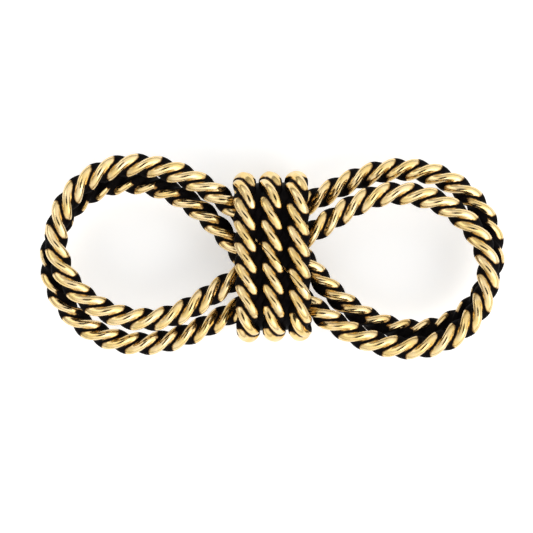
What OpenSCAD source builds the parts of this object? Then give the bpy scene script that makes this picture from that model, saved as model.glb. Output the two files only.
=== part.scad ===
// Two-piece rope-pattern figure-eight puzzle.
// Each casting is one closed run of rope that crosses itself at the waist, with three half wraps
// round the waist. The lower casting is the upper one turned half round the upright axis, and the
// upper one slides off along +Y.

/* [Rope] */
// Diameter of the rope
rope_d = 4.5; // [3.4:0.1:5.4]
// Air between one casting's rope and the other's
clearance = 0.36; // [0.3:0.02:0.6]

/* [Loops] */
// Length of the figure eight, outside tip to outside tip
overall_length = 89.8; // [75:0.2:110]
// How far the front loop's tip sits inside the back loop's tip
tip_step = 1.4; // [0:0.1:3]
// Width of a front loop, outside to outside
front_loop_width = 34; // [28:0.2:42]
// Width of a back loop, outside to outside
back_loop_width = 35.6; // [29:0.2:44]
// How far a front loop's middle lies off the long axis
front_loop_offset = 2.7; // [2:0.1:4]
// Distance across between the middles of a front loop and the back loop under it, as a share of rope_d
loop_stagger = 0.88; // [0.84:0.01:1.1]
// Distance off the long axis at which a front loop is longest
front_tip_y = 3.2; // [2:0.1:6]
// Distance off the long axis at which a back loop is longest
back_tip_y = 0.7; // [0:0.1:2]
// Length of the tighter quarter of a loop's round end
short_nose = 14.8; // [12:0.1:20]
// Length of the easier quarter of a loop's round end
long_nose = 17.4; // [12:0.1:20]

/* [Waist] */
// Height of a wrap along Y, outside to outside
wrap_height = 32.7; // [31:0.1:40]
// Air between neighbouring wraps
wrap_gap = 0.45; // [0.4:0.05:1]
// Radius of a wrap's corners, at the middle of the rope
wrap_corner_r = 5; // [3.5:0.1:6]
// Lean of the wraps, in degrees, top towards -X
wrap_lean = 1.5; // [0:0.1:3]
// Slope of the joint between the half wraps, in degrees
seam_slope = 45; // [30:1:50]
// Air in the joint between the half wraps
seam_gap = 0.3; // [0.2:0.05:0.5]
// Depth to which a casting's own strands sink into its wraps
strand_sink = 0.6; // [0.3:0.1:1]
// Distance between the two rising strands where they enter the waist, as a share of a rope and its air
entry_share = 0.69; // [0.62:0.01:0.8]
// Height above the long axis at which a back loop's upper strand enters the waist
back_entry_y = 1.3; // [0.5:0.1:1.6]
// Thickness of the web between neighbouring wraps
web_thickness = 1.4; // [1:0.1:2]

/* [Fineness] */
// Sides of a swept rope
rope_sides = 12; // [8:4:16]
// Longest step between the rings of a swept rope
ring_step = 2.4; // [1.5:0.1:4]

/* [Hidden] */
$fn = 64;
metal = "goldenrod";
patina = "dimgray";

// Levels: strands run one half layer above or below the middle, and wraps one layer outside them.
layer = rope_d + clearance;
half_layer = layer / 2;
wrap_z = half_layer + layer;
middle_z = wrap_z + rope_d / 2;

// Waist: wraps stand a pitch apart, and strands enter it just inside the outer wraps' outer flanks.
entry_reach = 0.4 * rope_d;
wrap_pitch = rope_d + wrap_gap;
wrap_y = (wrap_height - rope_d) / 2;
waist_x = wrap_pitch + entry_reach;
inner_y = wrap_y - rope_d;

// Directions of travel, in degrees, of the run of rope at the waist. The rising strand's middle is
// rise_ease shallower than its chord. The last three are a loop's, where it leaves or meets the waist.
rise_in_angle = 27;
rise_out_angle = 25;
fall_in_angle = 127;
fall_mid_angle = 152;
fall_out_angle = 138;
rise_ease = 4.4;
right_out_angle = 28;
left_out_angle = 142;
left_in_angle = 30;

// How far off the long axis the rising strand's middle stays: past half a layer, and past its ends' middle
strand_room = 1.3;
rise_lead = 1.3;
// Distance off the long axis at which the falling strand crosses the puzzle's middle
fall_mid_y = 4.2;

// Waist points: high ones lie under the casting's own wraps.
rise_out = [waist_x, inner_y + strand_sink];
entry_step = entry_share * layer * norm(rise_out) / waist_x;
rise_in = [-waist_x, entry_step - rise_out[1]];
rise_mid_angle = atan2(rise_out[1] - rise_in[1], 2 * waist_x) - rise_ease;
rise_ends_y = (rise_in[1] + rise_out[1]) / 2;
rise_mid_y = max(half_layer / cos(rise_mid_angle) + strand_room, rise_ends_y + rise_lead);
rise_mid = [0, rise_mid_y];
fall_in = [waist_x, -back_entry_y];
fall_mid = [0, fall_mid_y];
fall_out = [-waist_x, inner_y - strand_sink];

// Loop points of the upper casting: its right loop is a back loop and its left loop a front one.
back_tip_x = (overall_length - rope_d) / 2;
front_tip_x = back_tip_x - tip_step;
back_half_y = (back_loop_width - rope_d) / 2;
front_half_y = (front_loop_width - rope_d) / 2;
back_loop_offset = loop_stagger * rope_d - front_loop_offset;
right_top = [back_tip_x - long_nose, back_loop_offset + back_half_y];
right_tip = [back_tip_x, back_tip_y];
right_bottom = [back_tip_x - short_nose, back_loop_offset - back_half_y];
left_top = [short_nose - front_tip_x, front_loop_offset + front_half_y];
left_tip = [-front_tip_x, front_tip_y];
left_bottom = [long_nose - front_tip_x, front_loop_offset - front_half_y];

// X at which each of the two runs through the waist is still high, and X at which it is all the way low
rise_high_x = -0.6 * waist_x;
rise_low_x = 0.85 * waist_x;
fall_high_x = -1.5 * waist_x;
fall_low_x = 0.15 * waist_x;

// Lengths of a curve's handles, as shares of a quarter oval's half length or of the other curves' chord
quarter_handle = 0.5523;
loop_handle = 0.36;
strand_handle = 0.33;
// How much longer than its chord a curve is taken to be, when its rings are counted
curve_slack = 1.08;

function heading(angle) = [cos(angle), sin(angle)];
function smooth(u) = let (c = min(1, max(0, u))) c * c * (3 - 2 * c);
function drop_z(x, high_x, low_x) = half_layer - layer * smooth((x - high_x) / (low_x - high_x));
function rise_z(x) = drop_z(x, rise_high_x, rise_low_x);
function fall_z(x) = drop_z(x, fall_high_x, fall_low_x);

// A cubic stretch from a to b that leaves at angle_a and arrives at angle_b; b is left to the next one.
function stretch(a, b, angle_a, angle_b, handle_a, handle_b) =
    let (
        steps = ceil(norm(b - a) * curve_slack / ring_step),
        p = a + handle_a * heading(angle_a),
        q = b - handle_b * heading(angle_b)
    )
    [for (i = [0 : steps - 1])
        let (t = i / steps, s = 1 - t)
        s * s * s * a + 3 * s * s * t * p + 3 * s * t * t * q + t * t * t * b];
function bend(a, b, angle_a, angle_b, share) =
    stretch(a, b, angle_a, angle_b, share * norm(b - a), share * norm(b - a));
// A quarter of an oval: reach_a is its half length along angle_a, and reach_b along angle_b.
function quarter(a, b, angle_a, angle_b, reach_a, reach_b) =
    stretch(a, b, angle_a, angle_b, quarter_handle * reach_a, quarter_handle * reach_b);
function lift(flat, level) = [for (p = flat) [p[0], p[1], level]];
function lift_rise(flat) = [for (p = flat) [p[0], p[1], rise_z(p[0])]];
function lift_fall(flat) = [for (p = flat) [p[0], p[1], fall_z(p[0])]];

rise_run = lift_rise(concat(
    bend(rise_in, rise_mid, rise_in_angle, rise_mid_angle, strand_handle),
    bend(rise_mid, rise_out, rise_mid_angle, rise_out_angle, strand_handle)));
right_run = concat(
    lift_rise(bend(rise_out, right_top, right_out_angle, 0, loop_handle)),
    lift(concat(
        quarter(right_top, right_tip, 0, -90, long_nose, right_top[1] - right_tip[1]),
        quarter(right_tip, right_bottom, -90, 180, right_tip[1] - right_bottom[1], short_nose),
        bend(right_bottom, fall_in, 180, fall_in_angle, loop_handle)), -half_layer));
fall_run = lift_fall(concat(
    bend(fall_in, fall_mid, fall_in_angle, fall_mid_angle, strand_handle),
    bend(fall_mid, fall_out, fall_mid_angle, fall_out_angle, strand_handle)));
left_run = concat(
    lift_fall(bend(fall_out, left_top, left_out_angle, 180, loop_handle)),
    lift(concat(
        quarter(left_top, left_tip, 180, -90, short_nose, left_top[1] - left_tip[1]),
        quarter(left_tip, left_bottom, -90, 0, left_tip[1] - left_bottom[1], long_nose),
        bend(left_bottom, rise_in, 0, left_in_angle, loop_handle)), half_layer));
whole_run = concat(rise_run, right_run, fall_run, left_run);

right_start = len(rise_run);
fall_start = right_start + len(right_run);
left_start = fall_start + len(fall_run);
run_end = left_start + len(left_run);

function point_at(i) = whole_run[(i + run_end) % run_end];
function ring_at(i) =
    let (
        along = point_at(i + 1) - point_at(i - 1),
        forward = along / norm(along),
        flat_side = cross(forward, [0, 0, 1]),
        side = flat_side / norm(flat_side),
        up = cross(side, forward)
    )
    [for (k = [0 : rope_sides - 1])
        let (turn = 360 * k / rope_sides)
        point_at(i) + rope_d / 2 * (cos(turn) * side + sin(turn) * up)];

// Sweeps the rope between two rings of the casting's closed run.
module rope_between(first, last) {
    points = [for (i = [first : last]) each ring_at(i)];
    rings = last - first + 1;
    walls = [for (r = [0 : rings - 2], k = [0 : rope_sides - 1])
        let (n = (k + 1) % rope_sides, a = r * rope_sides, b = a + rope_sides)
        each [[a + k, b + k, b + n], [a + k, b + n, a + n]]];
    start_cap = [for (k = [1 : rope_sides - 2]) [0, k, k + 1]];
    end_ring = (rings - 1) * rope_sides;
    end_cap = [for (k = [1 : rope_sides - 2]) [end_ring, end_ring + k + 1, end_ring + k]];
    polyhedron(points, concat(walls, start_cap, end_cap));
}

// Keeps what lies above the slanted joint; the joint slopes the other way at the back.
module above_seam() {
    reach = overall_length;
    lift_off = seam_gap / 2;
    intersection() {
        children();
        union() {
            rotate([0, 0, -seam_slope]) translate([-reach, lift_off, 0]) cube([2 * reach, reach, reach]);
            rotate([0, 0, seam_slope]) translate([-reach, lift_off, -reach]) cube([2 * reach, reach, reach]);
        }
    }
}

// One quarter of a wrap: a leg and a corner, in the plane x = 0, at +Y and +Z.
module wrap_quarter() {
    translate([0, -wrap_y, wrap_z]) rotate([-90, 0, 0])
        cylinder(d = rope_d, h = 2 * wrap_y - wrap_corner_r);
    translate([0, wrap_y - wrap_corner_r, wrap_z - wrap_corner_r]) rotate([0, -90, 0])
        rotate_extrude(angle = 90) translate([wrap_corner_r, 0]) circle(d = rope_d);
    translate([0, wrap_y, 0]) cylinder(d = rope_d, h = wrap_z - wrap_corner_r);
}

module half_wrap(place) {
    above_seam() rotate([0, 0, wrap_lean]) translate([place * wrap_pitch, 0, 0]) {
        wrap_quarter();
        mirror([0, 0, 1]) wrap_quarter();
    }
}

// Outline of the waist block at the middle of the wraps, in the (Z, Y) plane.
module waist_outline() {
    corner_y = wrap_y - wrap_corner_r;
    corner_z = wrap_z - wrap_corner_r;
    translate([-wrap_z, -wrap_y]) square([2 * wrap_z, wrap_y + corner_y]);
    translate([-corner_z, 0]) square([2 * corner_z, wrap_y]);
    for (side = [-1, 1]) translate([side * corner_z, corner_y]) circle(r = wrap_corner_r);
}

// The solid top that joins the wraps and strands, with a web down the front and the back.
module yoke() {
    pocket_y = inner_y - strand_sink;
    above_seam() rotate([0, 0, wrap_lean]) rotate([0, -90, 0])
        linear_extrude(height = 2 * wrap_pitch, center = true) difference() {
            waist_outline();
            translate([web_thickness - wrap_z, -2 * wrap_y])
                square([2 * (wrap_z - web_thickness), 2 * wrap_y + pocket_y]);
        }
}

module upper() {
    translate([0, 0, middle_z]) children();
}
module lower() {
    translate([0, 0, middle_z]) rotate([0, 0, 180]) children();
}

module front_loop() color(metal) rope_between(left_start, run_end);
module back_loop() color(metal) rope_between(right_start, fall_start);
module rising_strand() color(metal) rope_between(0, right_start);
module falling_strand() color(metal) rope_between(fall_start, left_start);
module wrap(place) color(metal) half_wrap(place);
module waist_yoke() color(patina) yoke();

lower() back_loop();  // lower_left_loop
lower() front_loop();  // lower_right_loop
lower() rising_strand();  // lower_rising_strand
lower() falling_strand();  // lower_falling_strand
lower() wrap(1);  // lower_left_wrap
lower() wrap(0);  // lower_middle_wrap
lower() wrap(-1);  // lower_right_wrap
lower() waist_yoke();  // lower_yoke
upper() front_loop();  // upper_left_loop
upper() back_loop();  // upper_right_loop
upper() rising_strand();  // upper_rising_strand
upper() falling_strand();  // upper_falling_strand
upper() wrap(-1);  // upper_left_wrap
upper() wrap(0);  // upper_middle_wrap
upper() wrap(1);  // upper_right_wrap
upper() waist_yoke();  // upper_yoke
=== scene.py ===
import math

import bpy
import numpy as np
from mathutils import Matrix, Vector, kdtree


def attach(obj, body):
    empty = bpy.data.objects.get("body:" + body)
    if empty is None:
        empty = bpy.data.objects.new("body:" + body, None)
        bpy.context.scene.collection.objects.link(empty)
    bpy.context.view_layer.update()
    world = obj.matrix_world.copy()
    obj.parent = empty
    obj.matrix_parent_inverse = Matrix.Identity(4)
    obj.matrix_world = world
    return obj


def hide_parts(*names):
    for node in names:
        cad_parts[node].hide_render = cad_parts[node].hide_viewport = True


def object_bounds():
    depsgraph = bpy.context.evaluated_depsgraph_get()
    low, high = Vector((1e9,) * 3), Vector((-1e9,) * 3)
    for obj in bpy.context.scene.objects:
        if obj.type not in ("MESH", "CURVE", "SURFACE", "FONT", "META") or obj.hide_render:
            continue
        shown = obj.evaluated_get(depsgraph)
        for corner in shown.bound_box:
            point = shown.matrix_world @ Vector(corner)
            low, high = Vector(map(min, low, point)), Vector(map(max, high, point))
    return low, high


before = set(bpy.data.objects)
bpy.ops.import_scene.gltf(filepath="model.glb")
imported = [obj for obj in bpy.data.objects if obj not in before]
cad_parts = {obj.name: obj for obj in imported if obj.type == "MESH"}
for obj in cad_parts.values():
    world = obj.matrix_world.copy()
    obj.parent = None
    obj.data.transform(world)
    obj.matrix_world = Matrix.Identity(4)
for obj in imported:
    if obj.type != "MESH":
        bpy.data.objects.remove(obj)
CAD_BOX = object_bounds()

# ---------------------------------------------------------------- sizes, in millimetres
MM = 0.001
ROPE_D = 4.5
ROPE_R = ROPE_D / 2
CLEARANCE = 0.36
OVERALL_LENGTH = (CAD_BOX[1][0] - CAD_BOX[0][0]) / MM
MIDDLE_Z = (CAD_BOX[0][2] + CAD_BOX[1][2]) / 2 / MM
TIP_STEP = 1.4
FRONT_LOOP_WIDTH = 34.0
BACK_LOOP_WIDTH = 35.6
FRONT_LOOP_OFFSET = 2.7
LOOP_STAGGER = 0.88
FRONT_TIP_Y = 3.2
BACK_TIP_Y = 0.7
SHORT_NOSE = 14.8
LONG_NOSE = 17.4
WRAP_HEIGHT = 32.7
WRAP_GAP = 0.45
WRAP_CORNER_R = 5.0
WRAP_LEAN = math.radians(1.5)
SEAM_SLOPE = math.radians(45)
SEAM_GAP = 0.12            # the drawn joint, which is tighter than the CAD's 0.3
STRAND_SINK = 0.6
ENTRY_SHARE = 0.69
BACK_ENTRY_Y = 1.3

# Levels and waist, worked out as the CAD does
LAYER = ROPE_D + CLEARANCE
WRAP_Z = 1.5 * LAYER
WRAP_PITCH = ROPE_D + WRAP_GAP
WRAP_Y = (WRAP_HEIGHT - ROPE_D) / 2
ENTRY_REACH = 0.4 * ROPE_D
WAIST_X = WRAP_PITCH + ENTRY_REACH
INNER_Y = WRAP_Y - ROPE_D

# Directions of travel, in degrees, where the strands and loops enter, cross and leave the waist
RISE_IN_ANGLE = 27
RISE_OUT_ANGLE = 25
RISE_EASE = 4.4
FALL_IN_ANGLE = 127
FALL_MID_ANGLE = 152
FALL_OUT_ANGLE = 138
RIGHT_OUT_ANGLE = 28
LEFT_OUT_ANGLE = 142
LEFT_IN_ANGLE = 30

# How far off the long axis the strands' middles lie, and the two places on X between which each drops
STRAND_ROOM = 1.3
RISE_LEAD = 1.3
FALL_MID_Y = 4.2
RISE_DROP = (-0.6 * WAIST_X, 0.85 * WAIST_X)
FALL_DROP = (-1.5 * WAIST_X, 0.15 * WAIST_X)

# Lengths of a curve's handles, as in part.scad, and the points on a curve and on a wrap's corner
QUARTER_HANDLE = 0.5523
LOOP_HANDLE = 0.36
STRAND_HANDLE = 0.33
CURVE_STEPS = 120
CORNER_STEPS = 200

# A wrap's legs and corners
CORNER_Y = WRAP_Y - WRAP_CORNER_R
CORNER_Z = WRAP_Z - WRAP_CORNER_R
CORNER_ARC = WRAP_CORNER_R * math.pi / 2

# ---------------------------------------------------------------- rope pattern
STRANDS = 3
RUN_STRAND_PITCH = 4.25    # distance along the rope from one crown to the next
WRAP_STRAND_PITCH = 4.05
RING_STEP = 0.22
RING_SIDES = 60
HOOP_STEP = RING_STEP / 4
NEIGHBOUR_STEP = 0.5       # between the points that stand for the ropes beside a surface
DIRECTION_SPAN = 3         # points to each side over which a run's direction is taken
STRAND_CENTRE = 0.54       # strand's centre and radius, as shares of the rope's radius
STRAND_RADIUS = 0.46
GROOVE_FLOOR = 0.64        # radius at the bottom of a groove, as a share of the rope's radius
GROOVE_BLEND = 0.05        # softness of the line where a strand meets the bottom of its groove
RUN_PHASE = 0.2            # turns of the pattern where a run starts
WRAP_PLACES = {"left": -1, "middle": 0, "right": 1}
WRAP_CROWN_Y = {-1: 3.9, 0: 3.9, 1: 2.7}   # a crown's height on each wrap's front leg

# ---------------------------------------------------------------- where polishing and light reach; black patina and painted shade next to other ropes
RUN_PATINA_AND_SHADE_GAPS = (1.3, 3.1)    # gap to the other casting's run at which polishing and light start to reach, and reach fully; nearer in, black patina and painted shade
WRAP_PATINA_AND_SHADE_GAPS = (0.3, 0.9)   # the same for a gap beside a wrap
RUN_TAPER = 0.9            # how much the polished band narrows from a rope's face to its flank
WRAP_TAPER = 1.3


def heading(degrees):
    a = math.radians(degrees)
    return np.array([math.cos(a), math.sin(a)])


def smooth(u):
    u = np.clip(u, 0, 1)
    return u * u * (3 - 2 * u)


def stretch(a, b, angle_a, angle_b, handle_a, handle_b):
    """A cubic stretch from a to b, as part.scad draws it, without its last point."""
    a = np.array(a, float)
    b = np.array(b, float)
    t = (np.arange(CURVE_STEPS) / CURVE_STEPS)[:, None]
    p = a + handle_a * heading(angle_a)
    q = b - handle_b * heading(angle_b)
    s = 1 - t
    return s ** 3 * a + 3 * s * s * t * p + 3 * s * t * t * q + t ** 3 * b


def bend(a, b, angle_a, angle_b, share):
    reach = share * math.dist(a, b)
    return stretch(a, b, angle_a, angle_b, reach, reach)


def quarter(a, b, angle_a, angle_b, reach_a, reach_b):
    return stretch(a, b, angle_a, angle_b, QUARTER_HANDLE * reach_a, QUARTER_HANDLE * reach_b)


def drop(x, ends):
    """Level of a strand at x: it is high up to the first end, and low from the second one on."""
    return LAYER / 2 - LAYER * smooth((x - ends[0]) / (ends[1] - ends[0]))


def raised(flat, z):
    return np.column_stack([flat, np.broadcast_to(z, len(flat))])


def rise(flat):
    return raised(flat, drop(flat[:, 0], RISE_DROP))


def fall(flat):
    return raised(flat, drop(flat[:, 0], FALL_DROP))


def casting_run():
    """The closed centreline of the upper casting's rope, about the middle of the puzzle."""
    back_x = (OVERALL_LENGTH - ROPE_D) / 2
    front_x = back_x - TIP_STEP
    back_y = (BACK_LOOP_WIDTH - ROPE_D) / 2
    front_y = (FRONT_LOOP_WIDTH - ROPE_D) / 2
    back_offset = LOOP_STAGGER * ROPE_D - FRONT_LOOP_OFFSET
    rise_out = (WAIST_X, INNER_Y + STRAND_SINK)
    rise_in = (-WAIST_X, ENTRY_SHARE * LAYER * math.hypot(*rise_out) / WAIST_X - rise_out[1])
    rise_angle = math.degrees(math.atan2(rise_out[1] - rise_in[1], 2 * WAIST_X)) - RISE_EASE
    rise_mid_y = max(LAYER / 2 / math.cos(math.radians(rise_angle)) + STRAND_ROOM,
                     (rise_in[1] + rise_out[1]) / 2 + RISE_LEAD)
    rise_mid = (0, rise_mid_y)
    fall_in = (WAIST_X, -BACK_ENTRY_Y)
    fall_mid = (0, FALL_MID_Y)
    fall_out = (-WAIST_X, INNER_Y - STRAND_SINK)
    right_top = (back_x - LONG_NOSE, back_offset + back_y)
    right_tip = (back_x, BACK_TIP_Y)
    right_bottom = (back_x - SHORT_NOSE, back_offset - back_y)
    left_top = (SHORT_NOSE - front_x, FRONT_LOOP_OFFSET + front_y)
    left_tip = (-front_x, FRONT_TIP_Y)
    left_bottom = (LONG_NOSE - front_x, FRONT_LOOP_OFFSET - front_y)
    rising = np.vstack([
        bend(rise_in, rise_mid, RISE_IN_ANGLE, rise_angle, STRAND_HANDLE),
        bend(rise_mid, rise_out, rise_angle, RISE_OUT_ANGLE, STRAND_HANDLE)])
    right = np.vstack([
        quarter(right_top, right_tip, 0, -90, LONG_NOSE, right_top[1] - right_tip[1]),
        quarter(right_tip, right_bottom, -90, 180, right_tip[1] - right_bottom[1], SHORT_NOSE),
        bend(right_bottom, fall_in, 180, FALL_IN_ANGLE, LOOP_HANDLE)])
    falling = np.vstack([
        bend(fall_in, fall_mid, FALL_IN_ANGLE, FALL_MID_ANGLE, STRAND_HANDLE),
        bend(fall_mid, fall_out, FALL_MID_ANGLE, FALL_OUT_ANGLE, STRAND_HANDLE)])
    left = np.vstack([
        quarter(left_top, left_tip, 180, -90, SHORT_NOSE, left_top[1] - left_tip[1]),
        quarter(left_tip, left_bottom, -90, 0, left_tip[1] - left_bottom[1], LONG_NOSE),
        bend(left_bottom, rise_in, 0, LEFT_IN_ANGLE, LOOP_HANDLE)])
    return np.vstack([
        rise(rising),
        rise(bend(rise_out, right_top, RIGHT_OUT_ANGLE, 0, LOOP_HANDLE)),
        raised(right, -LAYER / 2),
        fall(falling),
        fall(bend(fall_out, left_top, LEFT_OUT_ANGLE, 180, LOOP_HANDLE)),
        raised(left, LAYER / 2)])


def hoop_run():
    """A wrap's closed centreline, in the plane x = 0, from the front of its top and down the front leg."""
    arc = np.linspace(0, math.pi / 2, CORNER_STEPS, endpoint=False)
    points = []
    for turn, (sy, sz) in enumerate([(1, 1), (-1, 1), (-1, -1), (1, -1)]):
        a = arc + math.pi / 2 * turn
        y = sy * CORNER_Y + WRAP_CORNER_R * np.cos(a)
        z = sz * CORNER_Z + WRAP_CORNER_R * np.sin(a)
        points.append(np.column_stack([np.zeros(CORNER_STEPS), y, z]))
    return np.vstack(points)


def even(points, step):
    """The closed run again, with points an even step apart. Returns the points and the run's length."""
    closed = np.vstack([points, points[:1]])
    lengths = np.linalg.norm(np.diff(closed, axis=0), axis=1)
    along = np.concatenate([[0], np.cumsum(lengths)])
    count = int(round(along[-1] / step))
    at = np.arange(count) * along[-1] / count
    return np.column_stack([np.interp(at, along, closed[:, i]) for i in range(3)]), along[-1]


def frames(points, across):
    """Side and up at each point of a closed run, both square to it; side is square to across too."""
    forward = np.roll(points, -DIRECTION_SPAN, axis=0) - np.roll(points, DIRECTION_SPAN, axis=0)
    forward /= np.linalg.norm(forward, axis=1)[:, None]
    side = np.cross(forward, across)
    side /= np.linalg.norm(side, axis=1)[:, None]
    return side, np.cross(side, forward)


def strand_profile(phase):
    """The rope's radius, as a share of its outer one, and how near a crown it is, at a strand phase."""
    off = (phase + math.pi) % (2 * math.pi) - math.pi
    angle = off / STRANDS
    reach = STRAND_CENTRE * np.sin(angle)
    lobe = STRAND_CENTRE * np.cos(angle) + np.sqrt(np.maximum(STRAND_RADIUS ** 2 - reach ** 2, 0))
    radius = GROOVE_BLEND * np.log(np.exp(lobe / GROOVE_BLEND) + np.exp(GROOVE_FLOOR / GROOVE_BLEND))
    return np.minimum(radius, 1.0), 1 - np.abs(off) / math.pi


def grid_faces(rings):
    """Faces between the rings of a sweep, from the first ring to the last."""
    first = RING_SIDES * np.arange(rings - 1)[:, None]
    k = np.arange(RING_SIDES)[None, :]
    a = first + k
    b = first + (k + 1) % RING_SIDES
    return np.stack([a, b, b + RING_SIDES, a + RING_SIDES], axis=-1).reshape(-1, 4)


def make_object(name, verts, faces, caps=()):
    mesh = bpy.data.meshes.new(name)
    mesh.from_pydata((verts * MM).tolist(), [], faces.tolist() + [list(map(int, c)) for c in caps])
    mesh.validate()
    mesh.polygons.foreach_set("use_smooth", [True] * len(mesh.polygons))
    obj = bpy.data.objects.new(name, mesh)
    bpy.context.scene.collection.objects.link(obj)
    return obj


def add_attribute(obj, name, values):
    layer = obj.data.attributes.new(name, "FLOAT", "POINT")
    layer.data.foreach_set("value", np.asarray(values, np.float32).ravel())


def placed(points, casting):
    """Points of a casting about the puzzle's middle, in the part's own frame."""
    turned = points * [-1, -1, 1] if casting == "lower" else points
    return turned + [0, 0, MIDDLE_Z]


def open_to_polish_and_light(verts, others, gaps):
    """1 where a polishing wheel and light reach a vertex, 0 in the gap next to another rope, left black as
    patina and as painted shade.
    """
    tree = kdtree.KDTree(len(others))
    for i, p in enumerate(others):
        tree.insert(p, i)
    tree.balance()
    gap = np.array([tree.find(v)[2] for v in verts]) - ROPE_R
    return smooth((gap - gaps[0]) / (gaps[1] - gaps[0]))


def make_run(casting, other_run, wraps):
    """The closed rope of one casting; its vertices follow the strands."""
    points, length = even(casting_run(), RING_STEP)
    side, up = frames(points, [0, 0, 1])
    count = len(points)
    periods = round(length / RUN_STRAND_PITCH)
    turn = 2 * math.pi / STRANDS * (periods * np.arange(count) / count + RUN_PHASE)
    around = 2 * math.pi * np.arange(RING_SIDES) / RING_SIDES
    radius, crown = strand_profile(STRANDS * around)
    angle = around + turn[:, None]
    offset = ROPE_R * radius[:, None] * (
        np.cos(angle)[..., None] * side[:, None, :] + np.sin(angle)[..., None] * up[:, None, :])
    verts = placed((points[:, None, :] + offset).reshape(-1, 3), casting)
    faces = np.vstack([grid_faces(count), closing_faces(count, periods)])
    obj = make_object(casting + "_rope", verts, faces)
    add_attribute(obj, "crown", crown - RUN_TAPER * (1 - np.abs(np.sin(angle))) ** 2)
    # painted shade: black next to the other casting's rope and the wraps, as patina and as shade
    run_polish_and_light = open_to_polish_and_light(verts, other_run, RUN_PATINA_AND_SHADE_GAPS)
    wrap_polish_and_light = open_to_polish_and_light(verts, wraps, WRAP_PATINA_AND_SHADE_GAPS)
    add_attribute(obj, "reach", np.minimum(run_polish_and_light, wrap_polish_and_light))
    return obj


def closing_faces(rings, periods):
    """Faces from a closed sweep's last ring to its first, which is turned by a number of strands."""
    shift = -periods * RING_SIDES // STRANDS
    k = np.arange(RING_SIDES)
    last = (rings - 1) * RING_SIDES
    a = last + k
    b = last + (k + 1) % RING_SIDES
    c = (k + 1 - shift) % RING_SIDES
    d = (k - shift) % RING_SIDES
    return np.stack([a, b, c, d], axis=-1)


def hoop_place(points, place):
    """Moves points of a hoop about the origin to a wrap's place: along X, then leaned about Z."""
    moved = points + [place * WRAP_PITCH, 0, 0]
    c, s = math.cos(WRAP_LEAN), math.sin(WRAP_LEAN)
    x, y, z = moved[..., 0], moved[..., 1], moved[..., 2]
    return np.stack([c * x - s * y, s * x + c * y, z + MIDDLE_Z], axis=-1)


def seam_y(x, back, above):
    """Height on a leg, before the lean, of the joint between the half wraps."""
    c, s = math.cos(WRAP_LEAN), math.sin(WRAP_LEAN)
    slope = math.tan(SEAM_SLOPE) * (1 if back else -1)
    air = above * SEAM_GAP / 2 / math.cos(SEAM_SLOPE)
    return (air + x * (slope * c - s)) / (c + slope * s)


def along_hoop(values, at):
    """Values of a hoop's points at places between them, counted in points from the first one."""
    low = np.floor(at).astype(int)
    share = (at - low)[..., None]
    return values[low % len(values)] * (1 - share) + values[(low + 1) % len(values)] * share


def make_half_wrap(casting, name, place, others):
    """One half wrap: the hoop's surface between its joint on the front leg and the one on the back leg."""
    points, length = even(hoop_run(), HOOP_STEP)
    side, up = frames(points, [1, 0, 0])
    around = 2 * math.pi * np.arange(RING_SIDES) / RING_SIDES
    x = place * WRAP_PITCH + ROPE_R * np.sin(around)
    above = 1 if casting == "upper" else -1
    leg_middle = CORNER_ARC + CORNER_Y
    start = seam_y(x, True, above) - 2 * CORNER_Z - leg_middle
    end = leg_middle - seam_y(x, False, above)
    if casting == "lower":
        start, end = end, start + length
    rings = int(round(abs(end - start).mean() / RING_STEP))
    along = start + (end - start) * np.linspace(0, 1, rings)[:, None]
    periods = round(length / WRAP_STRAND_PITCH)
    twist = 2 * math.pi * periods / STRANDS / length
    crown_at = leg_middle - WRAP_CROWN_Y[place]
    radius, crown = strand_profile(STRANDS * (around - twist * (along - crown_at)))
    at = (along % length) / length * len(points)
    outward = (
        np.cos(around)[:, None] * along_hoop(side, at) + np.sin(around)[:, None] * along_hoop(up, at))
    verts = hoop_place(along_hoop(points, at) + ROPE_R * radius[..., None] * outward, place)
    flat = verts.reshape(-1, 3)
    ends = np.vstack([verts[0], verts[-1]])
    first = len(flat)
    second = first + RING_SIDES
    caps = [range(second - 1, first - 1, -1), range(second, second + RING_SIDES)]
    obj = make_object(name, np.vstack([flat, ends]), grid_faces(rings), caps)
    crown = crown - WRAP_TAPER * (1 - np.abs(np.cos(around))) ** 2
    # painted shade: black next to the other wraps and the ropes, as patina and as shade
    reach = open_to_polish_and_light(flat, others, WRAP_PATINA_AND_SHADE_GAPS)
    dark = np.zeros(2 * RING_SIDES)
    add_attribute(obj, "crown", np.concatenate([crown.ravel(), dark]))
    add_attribute(obj, "reach", np.concatenate([reach, dark]))
    return obj


# ---------------------------------------------------------------- materials
GOLD = (0.80, 0.57, 0.225, 1)
PALE_GOLD = (0.88, 0.67, 0.36, 1)
RIM_GOLD = (0.30, 0.16, 0.05, 1)
PATINA = (0.0022, 0.0016, 0.0018, 1)
PATINA_WORN = (0.007, 0.005, 0.0045, 1)
FLOOR_TONES = ((0.90, 0.90, 0.90, 1), (0.93, 0.93, 0.93, 1))
FLOOR_GLOW = (0.96, 0.98, 1, 1)
FLOOR_GLOW_STRENGTH = 0.36

GILT_EDGE = (0.17, 0.24)        # nearness to a crown over which black turns to gold
RIM_EDGE = (0.21, 0.34)         # and over which the brown rim turns to full gold
RAGGED_DEPTH = 0.26             # how far the gold's edge wanders
PATINA_AND_SHADE_DEPTH = 0.9           # how far the gold draws back next to other ropes, where black patina and painted shade are
BLACK_ROUGHNESS = 0.55
GOLD_ROUGHNESS = 0.13
ROUGHNESS_GRAIN = 0.1
RIPPLE_DEPTH_MM = 0.05
SCRATCH_DEPTH_MM = 0.008
PATINA_DEPTH_MM = 0.03


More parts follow.
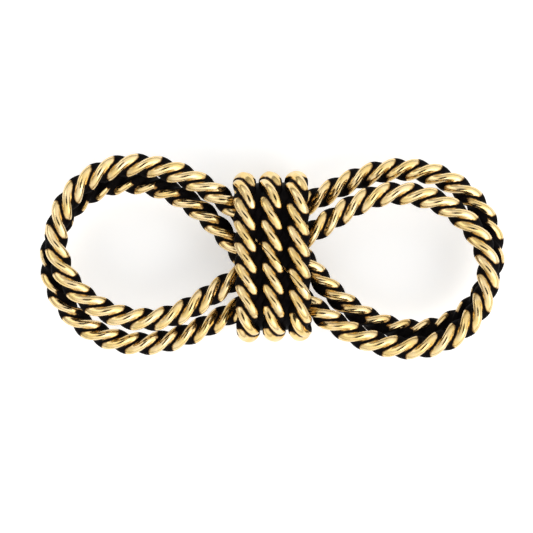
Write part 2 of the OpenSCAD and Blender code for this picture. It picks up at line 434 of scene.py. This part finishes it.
class Nodes:
    """A material's node tree, with short ways to add and link nodes."""

    def __init__(self, name):
        self.material = bpy.data.materials.new(name)
        self.material.use_nodes = True
        self.tree = self.material.node_tree
        self.tree.nodes.clear()
        self.shader = self.add("ShaderNodeBsdfPrincipled")
        out = self.add("ShaderNodeOutputMaterial")
        self.link(self.shader, "BSDF", out, "Surface")
        self.place = self.add("ShaderNodeTexCoord")

    def add(self, kind, **values):
        node = self.tree.nodes.new(kind)
        for key, value in values.items():
            setattr(node, key, value)
        return node

    def link(self, a, output, b, socket):
        self.tree.links.new(a.outputs[output], b.inputs[socket])

    def noise(self, size_mm, detail=3.0, roughness=0.5):
        node = self.add("ShaderNodeTexNoise")
        node.inputs["Scale"].default_value = 1 / (size_mm * MM)
        node.inputs["Detail"].default_value = detail
        node.inputs["Roughness"].default_value = roughness
        self.link(self.place, "Object", node, "Vector")
        return node

    def attribute(self, name):
        return self.add("ShaderNodeAttribute", attribute_name=name)

    def math(self, operation, a, b):
        node = self.add("ShaderNodeMath", operation=operation)
        for i, value in enumerate((a, b)):
            if isinstance(value, (int, float)):
                node.inputs[i].default_value = value
            else:
                self.tree.links.new(value, node.inputs[i])
        return node.outputs[0]

    def spread(self, value, low, high, to_low=0.0, to_high=1.0, kind="SMOOTHSTEP"):
        node = self.add("ShaderNodeMapRange", interpolation_type=kind)
        self.tree.links.new(value, node.inputs["Value"])
        node.inputs["From Min"].default_value = low
        node.inputs["From Max"].default_value = high
        node.inputs["To Min"].default_value = to_low
        node.inputs["To Max"].default_value = to_high
        return node.outputs[0]

    def mix(self, factor, a, b):
        node = self.add("ShaderNodeMix", data_type="RGBA")
        self.tree.links.new(factor, node.inputs["Factor"])
        for socket, value in (("A", a), ("B", b)):
            target = [i for i in node.inputs if i.name == socket and i.type == "RGBA"][0]
            if isinstance(value, tuple):
                target.default_value = value
            else:
                self.tree.links.new(value, target)
        return [o for o in node.outputs if o.type == "RGBA"][0]

    def bump(self, height, depth_mm, under=None):
        node = self.add("ShaderNodeBump")
        node.inputs["Strength"].default_value = 1.0
        node.inputs["Distance"].default_value = depth_mm * MM
        self.tree.links.new(height, node.inputs["Height"])
        if under is not None:
            self.tree.links.new(under, node.inputs["Normal"])
        return node.outputs["Normal"]

    def set(self, **sockets):
        for name, value in sockets.items():
            socket = self.shader.inputs[name.replace("_", " ")]
            if isinstance(value, (int, float, tuple)):
                socket.default_value = value
            else:
                self.tree.links.new(value, socket)


def gilded_rope():
    """Polished gold on the crowns of the strands, black patina left in the grooves, and black patina with
    painted shade in the gaps between ropes.
    """
    n = Nodes("antique_gold_rope")
    ragged = n.noise(0.7, 4.0, 0.6).outputs["Fac"]
    tone = n.noise(2.6, 2.0).outputs["Fac"]
    fine = n.noise(0.18, 3.0).outputs["Fac"]
    wander = n.math("MULTIPLY", n.math("SUBTRACT", ragged, 0.5), RAGGED_DEPTH)
    # painted shade: the gold gives way to black next to other ropes, as patina and as shade
    patina_and_painted_shade = n.spread(n.attribute("reach").outputs["Fac"], 0, 1, PATINA_AND_SHADE_DEPTH, 0.0, "LINEAR")
    height = n.math("ADD", n.attribute("crown").outputs["Fac"], wander)
    height = n.math("SUBTRACT", height, patina_and_painted_shade)
    gilt = n.spread(height, *GILT_EDGE)
    gold = n.mix(n.spread(tone, 0.35, 0.65), GOLD, PALE_GOLD)
    rim = n.mix(n.spread(height, *RIM_EDGE), RIM_GOLD, gold)
    black = n.mix(n.spread(fine, 0.4, 0.75), PATINA, PATINA_WORN)
    smoothness = n.spread(gilt, 0, 1, BLACK_ROUGHNESS, GOLD_ROUGHNESS, "LINEAR")
    ripple = n.bump(n.noise(1.1, 2.0).outputs["Fac"], RIPPLE_DEPTH_MM)
    n.set(Base_Color=n.mix(gilt, black, rim))
    n.set(Metallic=n.spread(gilt, 0, 1, 0.0, 1.0, "LINEAR"))
    n.set(Roughness=n.math("ADD", smoothness, n.math("MULTIPLY", fine, ROUGHNESS_GRAIN)))
    n.set(Normal=n.bump(fine, SCRATCH_DEPTH_MM, under=ripple))
    n.set(Specular_IOR_Level=0.03)
    return n.material


def patina_metal():
    """The dark, rough metal that polishing never reaches."""
    n = Nodes("black_patina_metal")
    fine = n.noise(0.25, 4.0, 0.6).outputs["Fac"]
    broad = n.noise(1.8, 2.0).outputs["Fac"]
    n.set(Base_Color=n.mix(n.spread(broad, 0.35, 0.7), PATINA, PATINA_WORN))
    n.set(Specular_IOR_Level=0.04)
    n.set(Roughness=n.spread(fine, 0.2, 0.8, 0.38, 0.6))
    n.set(Normal=n.bump(fine, PATINA_DEPTH_MM))
    return n.material


def floor_material():
    n = Nodes("pale_floor")
    grain = n.noise(40, 3.0).outputs["Fac"]
    n.set(Base_Color=n.mix(n.spread(grain, 0.3, 0.7), *FLOOR_TONES))
    n.set(Roughness=0.6)
    n.set(Emission_Color=FLOOR_GLOW, Emission_Strength=FLOOR_GLOW_STRENGTH)
    return n.material


# ---------------------------------------------------------------- stage, light and camera
FLOOR_HALF = 1.5
VIEW_SIDE_MM = 102.3             # width of the view on the puzzle's middle plane
CAMERA_HEIGHT = 0.46
CAMERA_X_MM = -1.1
CAMERA_Y_MM = -1.92
SENSOR_WIDTH = 36
CLIP_START = 0.01

BRIGHT_SIDE = (0.7, -0.7, 0.0)   # direction in which the tent is brightest
TENT_STRENGTH = (1.25, 2.75)     # on its dim side and on its bright side
TENT_LEVELS = (                  # from the horizon to straight overhead, where the opening is
    (0.0, 0.55), (0.12, 0.50), (0.35, 0.95), (0.62, 1.25), (0.88, 1.15), (0.905, 1.10), (0.94, 0.0))

SOFTBOXES = (                    # name, place and side in metres, power in watts
    ("key", (0.35, -0.30, 0.45), 0.45, 0.8),
    ("fill", (-0.40, 0.35, 0.40), 0.35, 0.3))


def make_floor():
    h = FLOOR_HALF
    mesh = bpy.data.meshes.new("floor")
    mesh.from_pydata([(-h, -h, 0), (h, -h, 0), (h, h, 0), (-h, h, 0)], [], [(0, 1, 2, 3)])
    floor = bpy.data.objects.new("floor", mesh)
    bpy.context.scene.collection.objects.link(floor)
    mesh.materials.append(floor_material())


def make_camera():
    data = bpy.data.cameras.new("camera")
    data.sensor_width = SENSOR_WIDTH
    data.lens = SENSOR_WIDTH * CAMERA_HEIGHT / (VIEW_SIDE_MM * MM)
    data.clip_start = CLIP_START
    camera = bpy.data.objects.new("camera", data)
    camera.location = (CAMERA_X_MM * MM, CAMERA_Y_MM * MM, MIDDLE_Z * MM + CAMERA_HEIGHT)
    bpy.context.scene.collection.objects.link(camera)
    bpy.context.scene.camera = camera


def make_world():
    """A white tent: bright overhead, dimmer near the horizon, with a dark opening at the top."""
    world = bpy.data.worlds.new("tent")
    bpy.context.scene.world = world
    world.use_nodes = True
    tree = world.node_tree
    tree.nodes.clear()
    coordinate = tree.nodes.new("ShaderNodeTexCoord")
    split = tree.nodes.new("ShaderNodeSeparateXYZ")
    tree.links.new(coordinate.outputs["Generated"], split.inputs[0])
    ramp = tree.nodes.new("ShaderNodeValToRGB")
    while len(ramp.color_ramp.elements) < len(TENT_LEVELS):
        ramp.color_ramp.elements.new(0.5)
    for element, (position, level) in zip(ramp.color_ramp.elements, TENT_LEVELS):
        element.position = position
        element.color = (level / 2, level / 2, level / 2, 1)
    tree.links.new(split.outputs["Z"], ramp.inputs["Fac"])
    sidedness = tree.nodes.new("ShaderNodeVectorMath")
    sidedness.operation = "DOT_PRODUCT"
    tree.links.new(coordinate.outputs["Generated"], sidedness.inputs[0])
    sidedness.inputs[1].default_value = BRIGHT_SIDE
    strength = tree.nodes.new("ShaderNodeMapRange")
    strength.inputs["From Min"].default_value = -1
    strength.inputs["To Min"].default_value = TENT_STRENGTH[0]
    strength.inputs["To Max"].default_value = TENT_STRENGTH[1]
    tree.links.new(sidedness.outputs["Value"], strength.inputs["Value"])
    background = tree.nodes.new("ShaderNodeBackground")
    tree.links.new(strength.outputs["Result"], background.inputs["Strength"])
    out = tree.nodes.new("ShaderNodeOutputWorld")
    tree.links.new(ramp.outputs["Color"], background.inputs["Color"])
    tree.links.new(background.outputs["Background"], out.inputs["Surface"])


def make_softbox(name, place, side, power):
    data = bpy.data.lights.new(name, "AREA")
    data.shape = "SQUARE"
    data.size = side
    data.energy = power
    lamp = bpy.data.objects.new(name, data)
    lamp.location = place
    lamp.rotation_euler = (-Vector(place)).to_track_quat("-Z", "Y").to_euler()
    bpy.context.scene.collection.objects.link(lamp)


# ---------------------------------------------------------------- the object
RUN_NODES = ("_left_loop", "_right_loop", "_rising_strand", "_falling_strand")


def make_puzzle():
    rope = gilded_rope()
    patina = patina_metal()
    coarse, _ = even(casting_run(), NEIGHBOUR_STEP)
    hoop, _ = even(hoop_run(), NEIGHBOUR_STEP)
    runs = {casting: placed(coarse, casting) for casting in ("upper", "lower")}
    hoops = {side: hoop_place(hoop, place) for side, place in WRAP_PLACES.items()}
    for casting, other in (("upper", "lower"), ("lower", "upper")):
        body = casting + "_casting"
        run = make_run(casting, runs[other], np.vstack(list(hoops.values())))
        finish_piece(run, body, rope, [casting + part for part in RUN_NODES])
        for side, place in WRAP_PLACES.items():
            neighbours = [hoops[s] for s in WRAP_PLACES if s != side] + list(runs.values())
            node = f"{casting}_{side}_wrap"
            wrap = make_half_wrap(casting, node + "_rope", place, np.vstack(neighbours))
            finish_piece(wrap, body, rope, [node])
        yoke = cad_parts[casting + "_yoke"]
        yoke.data.materials.clear()
        yoke.data.materials.append(patina)


def finish_piece(piece, body, material, nodes):
    piece.data.materials.append(material)
    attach(piece, body)
    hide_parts(*nodes)


make_camera()
make_puzzle()
make_floor()
make_world()
for softbox in SOFTBOXES:
    make_softbox(*softbox)
bpy.context.scene.view_settings.view_transform = "Standard"
